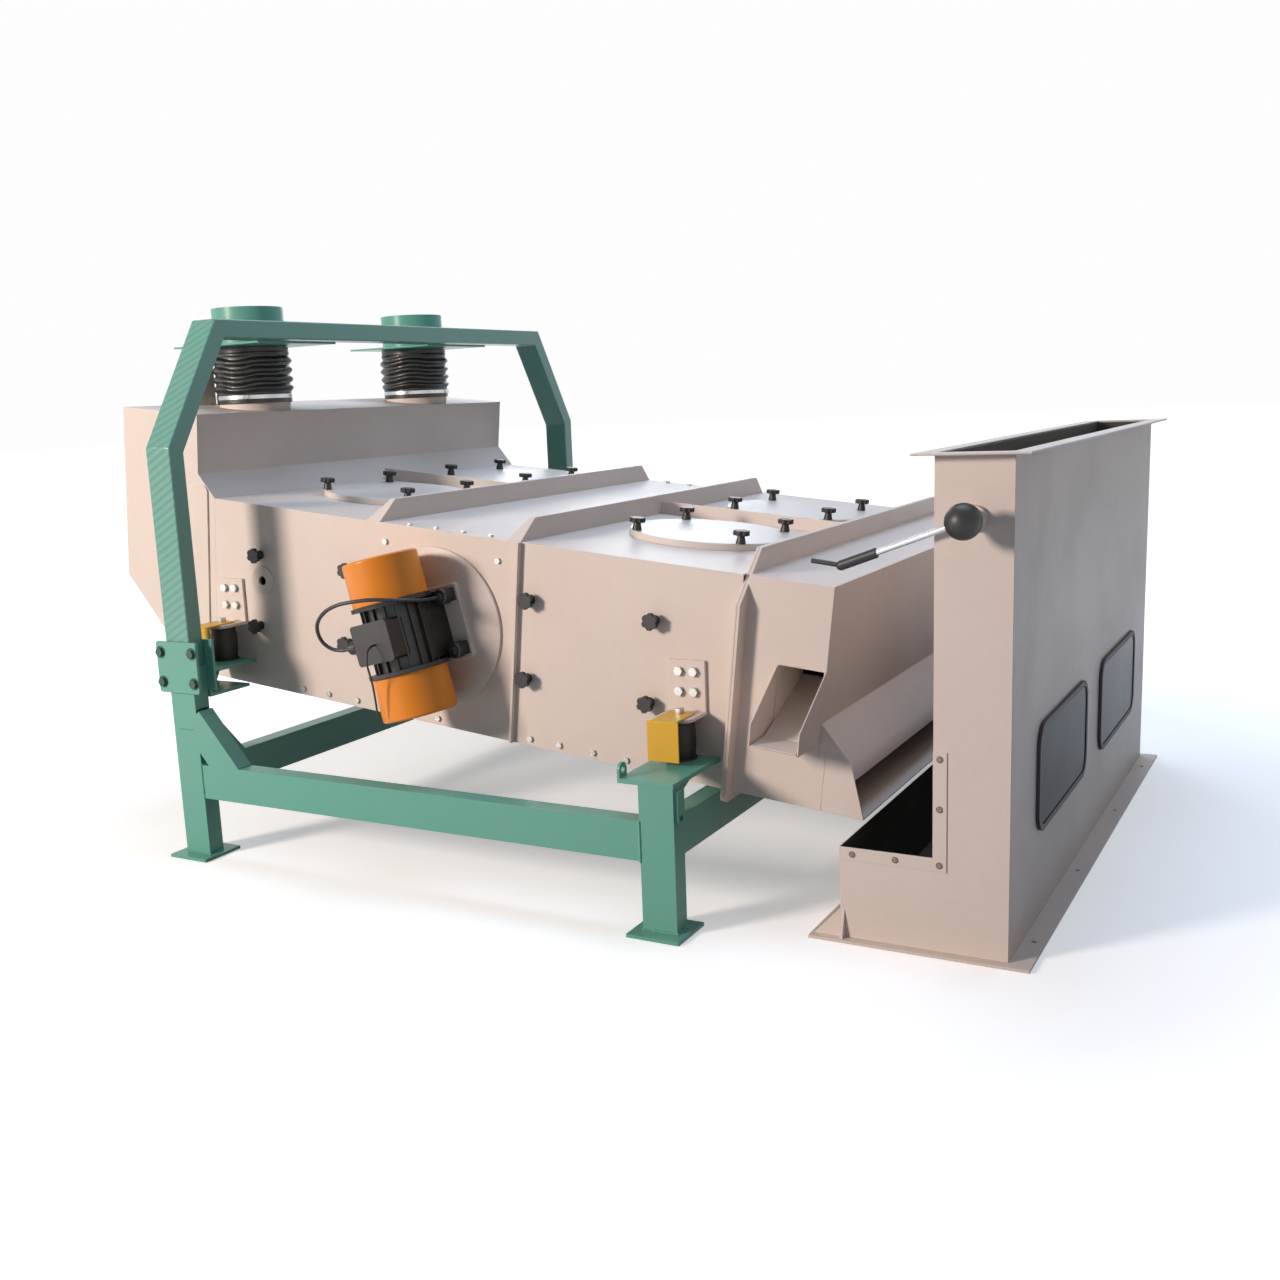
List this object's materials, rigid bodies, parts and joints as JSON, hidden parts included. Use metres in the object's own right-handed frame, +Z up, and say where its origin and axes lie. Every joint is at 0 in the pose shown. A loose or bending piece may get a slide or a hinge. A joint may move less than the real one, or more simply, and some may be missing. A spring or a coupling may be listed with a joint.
{
  "type": "vibrating sieve",
  "caption": "Grain cleaning sieve: a sloping box with twin feed spouts on rubber springs, shaken by side vibration motors, over a green frame, with an upright air channel at its outlet.",
  "frame": {"origin": "middle of the overall plan, on the floor", "axes": "+X along the grain's flow from the inlet box to the air channel, +Y from the near side (lever and side spout) to the far side, +Z up"},
  "size_m": [3.0772, 2.4617, 1.735],
  "materials": {
    "cream": "satin",
    "green": "satin",
    "yellow": "satin",
    "orange": "satin",
    "grey_lid": "satin",
    "motor_black": "satin",
    "black_plastic": "matte",
    "rubber": "matte",
    "steel": "satin",
    "glass": "polished",
    "screen_wood": "matte",
    "sleeve_rubber": "matte"
  },
  "bodies": {
    "base": {"base_frame": "green", "inlet_portal": "green", "splice_plates": "green", "splice_bolts": "steel", "inlet_spring_shelves": "green", "feed_spouts": "cream", "channel_shell": "cream", "channel_base_flange": "cream", "channel_top_flange": "cream", "mouth_trims": "cream", "window_seals": "rubber", "window_panes": "glass", "spring_inlet_near": "rubber", "spring_inlet_far": "rubber", "spring_outlet_near": "rubber", "spring_outlet_far": "rubber", "feed_sleeve_near": "sleeve_rubber", "feed_sleeve_far": "sleeve_rubber"},
    "sieve": {"side_panel_near": "cream", "side_panel_far": "cream", "floor_pan": "cream", "top_panel_inlet": "cream", "top_panel_middle": "cream", "top_panel_outlet": "cream", "inlet_box": "cream", "end_flange": "cream", "outlet_box": "cream", "side_spout": "cream", "upper_screen": "screen_wood", "lower_screen": "screen_wood", "screen_clamp_knobs": "black_plastic", "panel_screws": "cream", "sleeve_clamps": "steel", "spring_brackets": "cream", "bracket_bolts": "steel", "spring_guards": "yellow"},
    "motor_near": {"motor_disc_near": "steel", "motor_body_near": "motor_black", "motor_covers_near": "orange", "motor_nuts_near": "black_plastic", "motor_lead": "rubber", "motor_thin_lead": "rubber"},
    "motor_far": {"motor_disc_far": "steel", "motor_body_far": "motor_black", "motor_covers_far": "orange", "motor_nuts_far": "black_plastic"},
    "rotor_near": {"motor_rotor_near": "steel"},
    "rotor_far": {"motor_rotor_far": "steel"},
    "air_valve": {"valve_flap": "steel", "valve_lever": "steel", "valve_grip": "black_plastic"},
    "lock_knob": {"valve_lock_knob": "black_plastic"},
    "hatch_inlet_near": {"hatch_cover_inlet_near": "grey_lid", "hatch_knobs_inlet_near": "black_plastic"},
    "hatch_inlet_far": {"hatch_cover_inlet_far": "grey_lid", "hatch_knobs_inlet_far": "black_plastic"},
    "hatch_outlet_near": {"hatch_cover_outlet_near": "grey_lid", "hatch_knobs_outlet_near": "black_plastic"},
    "hatch_outlet_far": {"hatch_cover_outlet_far": "grey_lid", "hatch_knobs_outlet_far": "black_plastic"}
  },
  "joints": [
    {"name": "sieve_stroke", "type": "slide", "parent": "base", "child": "sieve", "axis": [0.9711, 0, 0.2385], "range_m": [-0.003, 0.003], "stiffness_N_per_m": 250000, "springref_m": 0.00777, "deforming": ["spring_inlet_near", "spring_inlet_far", "spring_outlet_near", "spring_outlet_far", "feed_sleeve_near", "feed_sleeve_far"]},
    {"name": "motor_angle_near", "type": "hinge", "parent": "sieve", "child": "motor_near", "pos_m": [-0.24987, -0.885, 0.72465], "axis": [0, 1, 0], "range_deg": [-20, 25]},
    {"name": "motor_spin_near", "type": "hinge", "parent": "motor_near", "child": "rotor_near", "pos_m": [-0.24987, -1.05, 0.72465], "axis": [-0.2385, 0, 0.9711], "continuous": true},
    {"name": "motor_angle_far", "type": "hinge", "parent": "sieve", "child": "motor_far", "pos_m": [-0.24987, 0.885, 0.72465], "axis": [0, 1, 0], "range_deg": [-20, 25]},
    {"name": "motor_spin_far", "type": "hinge", "parent": "motor_far", "child": "rotor_far", "pos_m": [-0.24987, 1.05, 0.72465], "axis": [-0.2385, 0, 0.9711], "continuous": true},
    {"name": "hatch_lift_inlet_near", "type": "slide", "parent": "sieve", "child": "hatch_inlet_near", "axis": [0.108, 0, 0.9942], "range_m": [0, 0.06]},
    {"name": "hatch_lift_inlet_far", "type": "slide", "parent": "sieve", "child": "hatch_inlet_far", "axis": [0.108, 0, 0.9942], "range_m": [0, 0.06]},
    {"name": "hatch_lift_outlet_near", "type": "slide", "parent": "sieve", "child": "hatch_outlet_near", "axis": [0.108, 0, 0.9942], "range_m": [0, 0.06]},
    {"name": "hatch_lift_outlet_far", "type": "slide", "parent": "sieve", "child": "hatch_outlet_far", "axis": [0.108, 0, 0.9942], "range_m": [0, 0.06]},
    {"name": "air_valve_turn", "type": "hinge", "parent": "base", "child": "air_valve", "pos_m": [1.39209, 0, 1.07], "axis": [0, 1, 0], "range_deg": [-60, 30]},
    {"name": "lock_knob_turn", "type": "hinge", "parent": "air_valve", "child": "lock_knob", "pos_m": [1.39209, -1.1, 1.07], "axis": [0, 1, 0], "range_deg": [0, 180]}
  ],
  "couplings": [
    {"joint": "motor_spin_far", "follows": "motor_spin_near", "ratio": -1}
  ]
}
